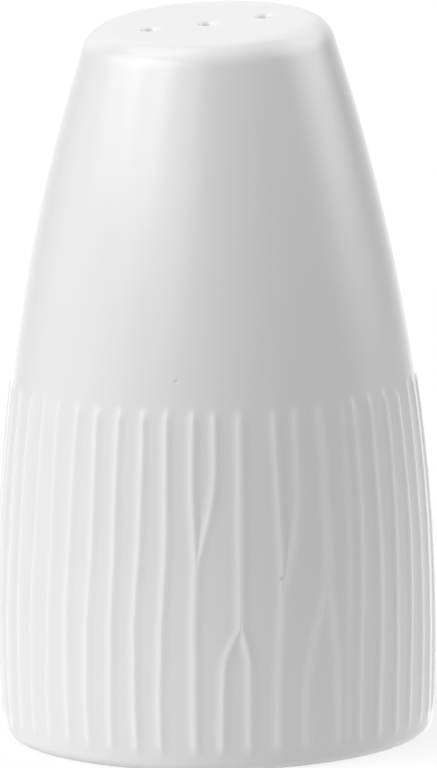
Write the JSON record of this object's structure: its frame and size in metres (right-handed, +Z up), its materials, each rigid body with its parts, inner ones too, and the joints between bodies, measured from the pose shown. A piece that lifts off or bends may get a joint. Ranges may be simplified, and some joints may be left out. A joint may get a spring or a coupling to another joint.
{
  "type": "pepper shaker",
  "caption": "Tapered glazed porcelain pepper shaker with a ribbed lower half, pour holes in a nearly flat crown and a soft push-in stopper in its base.",
  "frame": {"origin": "middle of the foot plane that the shaker stands on", "axes": "+Z up along the body's axis, X along the row of pour holes"},
  "size_m": [0.0464, 0.0464, 0.0765],
  "materials": {
    "glazed_porcelain": "white glaze, glossy",
    "soft_polyethylene": "natural soft plastic, satin"
  },
  "bodies": {
    "body": {"shaker_body": "glazed_porcelain"},
    "stopper": {"base_stopper": "soft_polyethylene"}
  },
  "joints": [
    {"name": "stopper_pull", "type": "slide", "parent": "body", "child": "stopper", "axis": [0, 0, -1], "range_m": [0, 0.03]}
  ]
}
